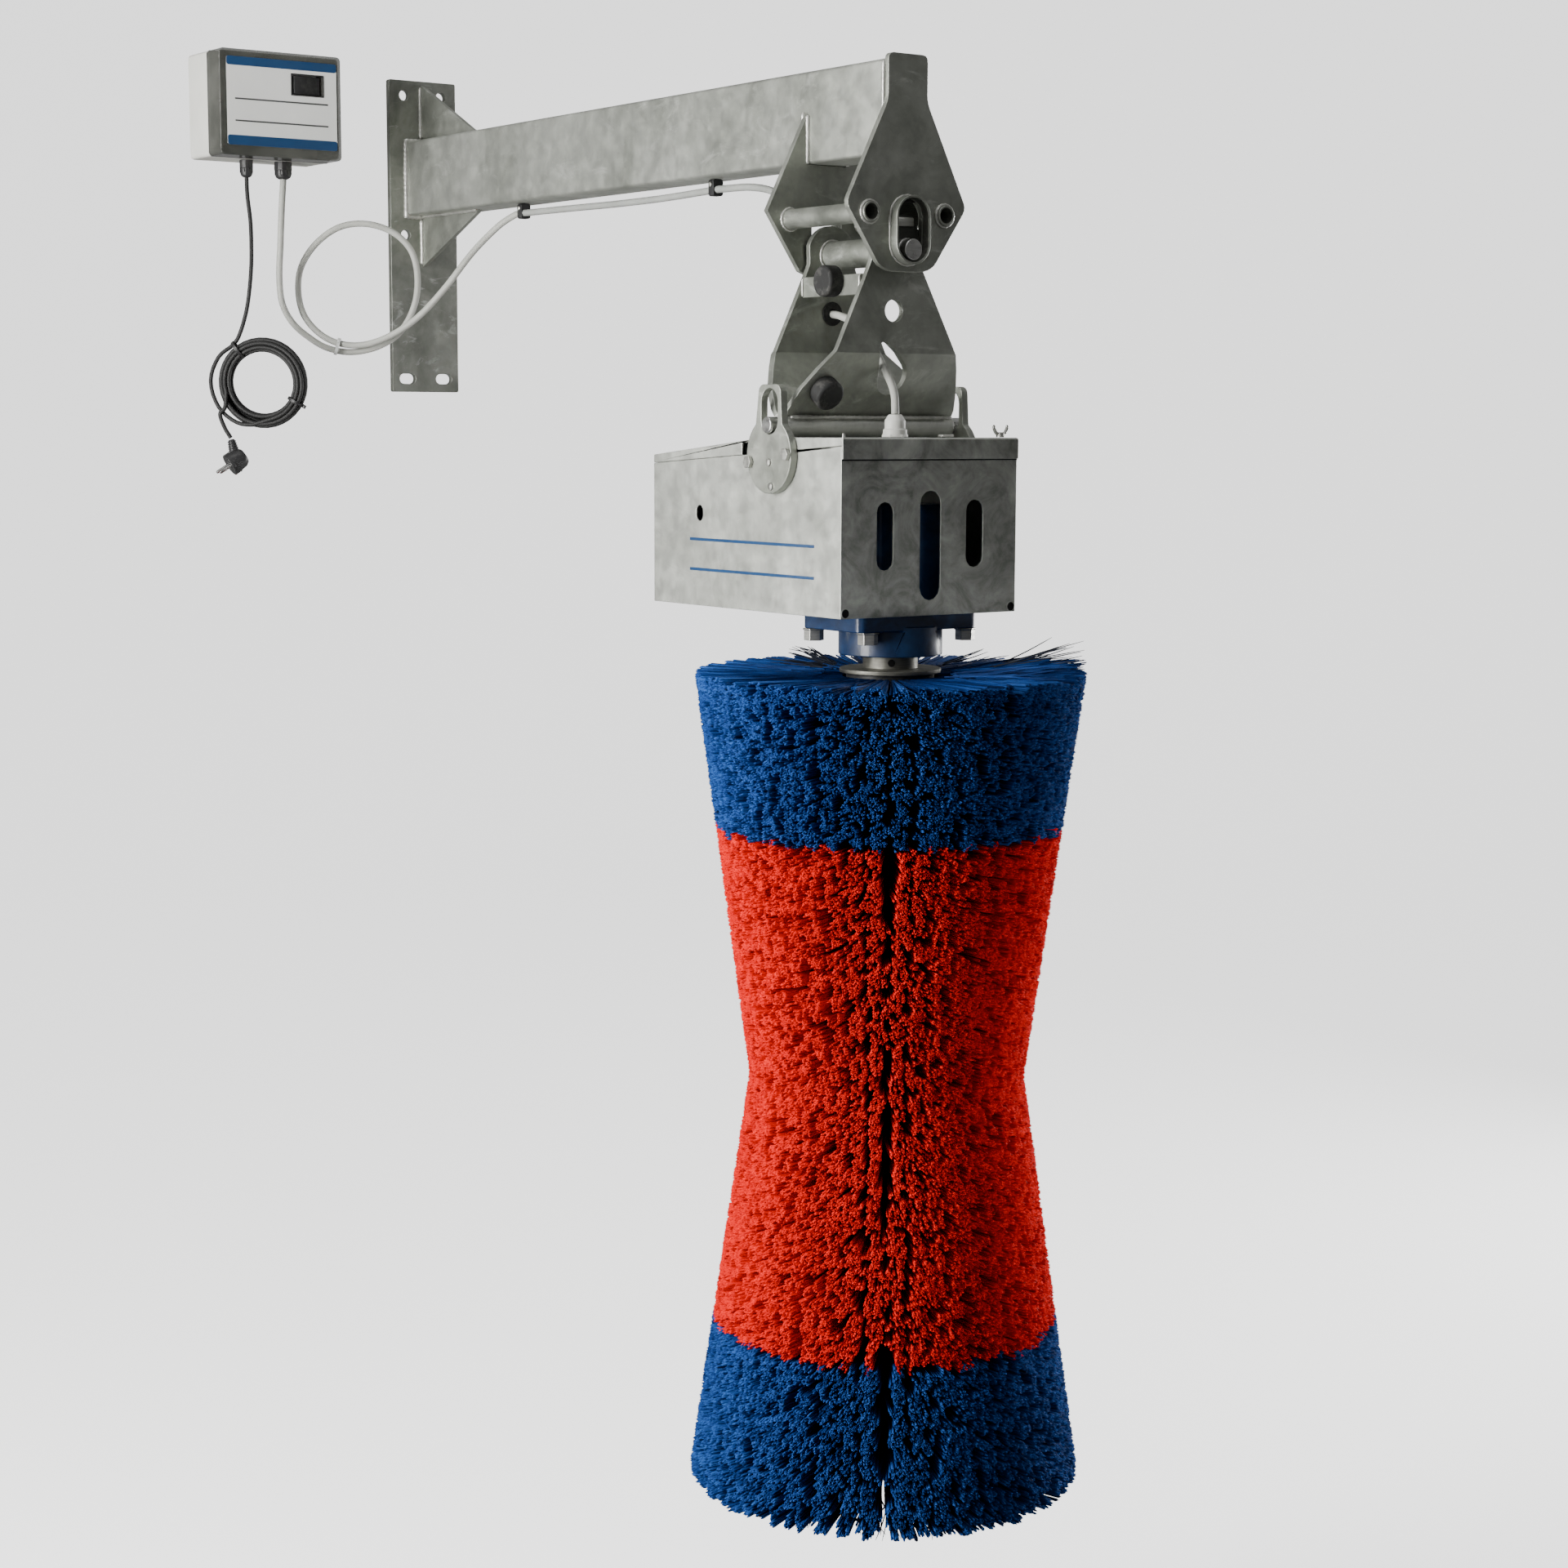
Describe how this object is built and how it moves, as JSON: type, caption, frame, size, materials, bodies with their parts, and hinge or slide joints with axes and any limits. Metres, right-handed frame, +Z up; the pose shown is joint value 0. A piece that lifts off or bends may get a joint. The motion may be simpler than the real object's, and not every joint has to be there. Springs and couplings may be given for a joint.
{
  "type": "swinging livestock brush",
  "caption": "Motor-driven rotating cow brush hanging from a galvanised wall arm on a two-way swinging link, with its control box, motor cable and mains cord.",
  "frame": {"origin": "on the wall plate's back face, at the arm tube's centre line", "axes": "+Z up, +X out of the wall along the arm, -Y towards the side with the control box"},
  "size_m": [1.4635, 0.6318, 1.859],
  "materials": {
    "galvanised": "matte",
    "bright_steel": "satin",
    "rubber": "matte",
    "black_plastic": "matte",
    "grey_plastic": "satin",
    "smoked_plastic": "gloss",
    "cable_grey": "satin",
    "blue_casting": "satin",
    "blue_bristle": "matte",
    "red_bristle": "matte"
  },
  "bodies": {
    "arm": {"wall_plate": "galvanised", "arm_tube": "galvanised", "gusset_top": "galvanised", "gusset_bottom": "galvanised", "head_plate_front": "galvanised", "head_plate_rear": "galvanised", "slot_guide_front": "galvanised", "slot_guide_rear": "galvanised", "stop_tube_left": "galvanised", "stop_tube_right": "galvanised", "cable_clip_1": "black_plastic", "cable_clip_2": "black_plastic", "control_box_base": "grey_plastic", "control_box_lid": "smoked_plastic", "gland_mains": "black_plastic", "gland_motor": "black_plastic", "mains_cord": "black_plastic", "mains_coil": "black_plastic", "mains_tail": "black_plastic", "mains_plug": "black_plastic", "motor_cable_loop": "cable_grey", "motor_cable_arm": "cable_grey", "motor_cable_drop": "cable_grey"},
    "pin": {"pivot_pin": "bright_steel"},
    "link": {"link_plate_front": "galvanised", "link_plate_rear": "galvanised", "pivot_tube": "galvanised", "cross_plate_left": "galvanised", "cross_plate_right": "galvanised", "buffer_upper_left": "rubber", "buffer_upper_right": "rubber", "buffer_lower": "rubber", "hinge_tube": "galvanised", "cable_grommet": "rubber", "motor_cable_lower": "cable_grey"},
    "housing": {"housing_shell": "galvanised", "housing_lid": "galvanised", "ear_left": "galvanised", "ear_right": "galvanised", "hinge_shaft": "bright_steel", "ear_bolt_left_1": "bright_steel", "ear_bolt_left_2": "bright_steel", "ear_bolt_right_1": "bright_steel", "ear_bolt_right_2": "bright_steel", "gearbox_body": "blue_casting", "flange_bolt_1": "bright_steel", "flange_bolt_2": "bright_steel", "flange_bolt_3": "bright_steel", "flange_bolt_4": "bright_steel", "motor_body": "blue_casting", "roof_gland": "grey_plastic"},
    "brush": {"output_shaft": "bright_steel", "brush_core": "black_plastic", "bristles_top": "blue_bristle", "bristles_red_upper": "red_bristle", "bristles_red_lower": "red_bristle", "bristles_bottom": "blue_bristle"},
    "fan": {"motor_fan": "black_plastic"},
    "rocker": {"rocker_switch": "black_plastic"}
  },
  "joints": [
    {"name": "pin_lift", "type": "slide", "parent": "arm", "child": "pin", "axis": [0, 0, 1], "range_m": [0, 0.014]},
    {"name": "link_swing", "type": "hinge", "parent": "pin", "child": "link", "pos_m": [1.1475, 0, -0.165], "axis": [1, 0, 0], "range_deg": [-30, 30], "deforming": ["motor_cable_drop"]},
    {"name": "housing_swing", "type": "hinge", "parent": "link", "child": "housing", "pos_m": [1.158, 0, -0.375], "axis": [0, 1, 0], "range_deg": [-34, 40], "deforming": ["motor_cable_lower"]},
    {"name": "brush_spin", "type": "hinge", "parent": "housing", "child": "brush", "pos_m": [1.2135, 0, -1], "axis": [0, 0, 1], "continuous": true},
    {"name": "fan_spin", "type": "hinge", "parent": "housing", "child": "fan", "pos_m": [0.91, 0, -0.53], "axis": [1, 0, 0], "continuous": true},
    {"name": "rocker_tilt", "type": "hinge", "parent": "arm", "child": "rocker", "pos_m": [0.105, -0.24455, 0.119], "axis": [0, 0, 1], "range_deg": [-14, 0]}
  ],
  "couplings": [
    {"joint": "fan_spin", "follows": "brush_spin", "ratio": 28}
  ]
}
